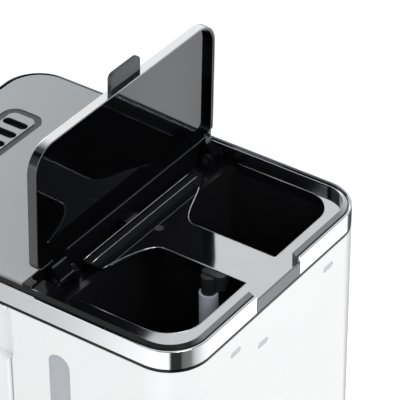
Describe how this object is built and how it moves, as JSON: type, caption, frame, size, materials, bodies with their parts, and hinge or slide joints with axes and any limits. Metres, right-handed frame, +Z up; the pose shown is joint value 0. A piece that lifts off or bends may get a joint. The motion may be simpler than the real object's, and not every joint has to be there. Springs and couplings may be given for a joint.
{
  "type": "drip coffee maker",
  "caption": "Drip coffee maker with a raised hinged tank lid, chrome rim and bridge over the water tank, vented top panel, swing-out filter holder and glass carafe.",
  "frame": {"origin": "on the table plane, under the centre of the base's outline", "axes": "+Z up, front with the buttons faces -Y, water tank at the rear (+Y), +X to the right seen from the front"},
  "size_m": [0.208, 0.3114, 0.4721],
  "materials": {
    "white_body": "satin white moulding",
    "black_deck": "satin black moulding",
    "silver_panel": "satin silver-grey paint",
    "chrome_rim": "mirror polish",
    "chrome_strip": "polished strip",
    "rail_black": "gloss black with bright edges",
    "grey_plate": "matte grey",
    "tank_black": "smooth black",
    "smoke_window": "smoked clear strip",
    "lid_black": "high gloss black",
    "lid_silver": "satin silver-grey paint",
    "tab_grey": "matte grey",
    "steel_small": "plated steel",
    "hose_grey": "grey silicone",
    "elbow_pale": "pale translucent",
    "rubber_black": "soft black",
    "valve_grey": "soft grey",
    "basket_black": "satin black",
    "plate_steel": "non-stick coating",
    "heater_alu": "extruded",
    "bracket_steel": "stamped",
    "fascia_black": "gloss black",
    "display_glass": "tinted",
    "lcd_grey": "display",
    "board_green": "solder mask",
    "switch_metal": "small switch cans",
    "button_silver": "silver keys",
    "carafe_clear": "clear blown glass",
    "carafe_black": "satin black",
    "carafe_steel": "satin strap"
  },
  "bodies": {
    "machine": {"base_housing": "white_body", "base_cover": "black_deck", "base_screws": "steel_small", "feet": "rubber_black", "rear_housing": "white_body", "level_window": "smoke_window", "cord_gland": "rubber_black", "top_deck": "black_deck", "chrome_band": "chrome_strip", "rim_collar": "chrome_rim", "bridge_screw": "steel_small", "hinge_rail": "rail_black", "notch_plate": "grey_plate", "top_panel": "silver_panel", "water_tank": "tank_black", "check_valve": "valve_grey", "cold_hose": "hose_grey", "riser_hose": "hose_grey", "outlet_elbow": "elbow_pale", "brew_pipe": "hose_grey", "spray_head": "steel_small", "lid_pins": "steel_small", "warming_plate": "plate_steel", "heating_element": "heater_alu", "heater_bracket": "bracket_steel", "thermostat": "bracket_steel", "thermal_fuse": "bracket_steel", "fascia": "fascia_black", "display_window": "display_glass", "display_module": "lcd_grey", "circuit_board": "board_green", "tact_switches": "switch_metal"},
    "lid": {"lid_shell": "lid_silver", "lid_liner": "lid_black", "lid_tab": "tab_grey"},
    "holder": {"filter_holder": "white_body", "filter_basket": "basket_black", "valve_spring": "steel_small"},
    "valve": {"drip_valve": "valve_grey"},
    "carafe": {"carafe_glass": "carafe_clear", "carafe_band": "carafe_steel", "carafe_collar": "carafe_black", "carafe_handle": "carafe_black", "carafe_screw": "steel_small"},
    "carafe_cap": {"carafe_lid": "carafe_black"},
    "hour_key": {"hour_button": "button_silver"},
    "minute_key": {"minute_button": "button_silver"},
    "timer_key": {"timer_button": "button_silver"},
    "power_key": {"power_button": "button_silver"}
  },
  "joints": [
    {"name": "tank_lid_hinge", "type": "hinge", "parent": "machine", "child": "lid", "pos_m": [0, 0.0245, 0.353], "axis": [1, 0, 0], "range_deg": [-88.5, 6]},
    {"name": "filter_holder_swing", "type": "hinge", "parent": "machine", "child": "holder", "pos_m": [-0.1, 0.001, 0.28], "axis": [0, 0, -1], "range_deg": [0, 85]},
    {"name": "drip_valve_lift", "type": "slide", "parent": "holder", "child": "valve", "axis": [0, 0, 1], "range_m": [0, 0.003], "stiffness_N_per_m": 150, "springref_m": -0.002, "deforming": ["valve_spring"]},
    {"name": "carafe_slide", "type": "slide", "parent": "machine", "child": "carafe", "axis": [0, -1, 0], "range_m": [0, 0.16]},
    {"name": "carafe_lid_turn", "type": "hinge", "parent": "carafe", "child": "carafe_cap", "pos_m": [0, -0.062, 0.195], "axis": [0, 0, 1], "range_deg": [0, 60]},
    {"name": "hour_press", "type": "slide", "parent": "machine", "child": "hour_key", "axis": [0, 1, 0], "range_m": [0, 0.0012], "stiffness_N_per_m": 600, "springref_m": -0.0005},
    {"name": "minute_press", "type": "slide", "parent": "machine", "child": "minute_key", "axis": [0, 1, 0], "range_m": [0, 0.0012], "stiffness_N_per_m": 600, "springref_m": -0.0005},
    {"name": "timer_press", "type": "slide", "parent": "machine", "child": "timer_key", "axis": [0, 1, 0], "range_m": [0, 0.0012], "stiffness_N_per_m": 600, "springref_m": -0.0005},
    {"name": "power_press", "type": "slide", "parent": "machine", "child": "power_key", "axis": [0, 1, 0], "range_m": [0, 0.0012], "stiffness_N_per_m": 600, "springref_m": -0.0005}
  ]
}
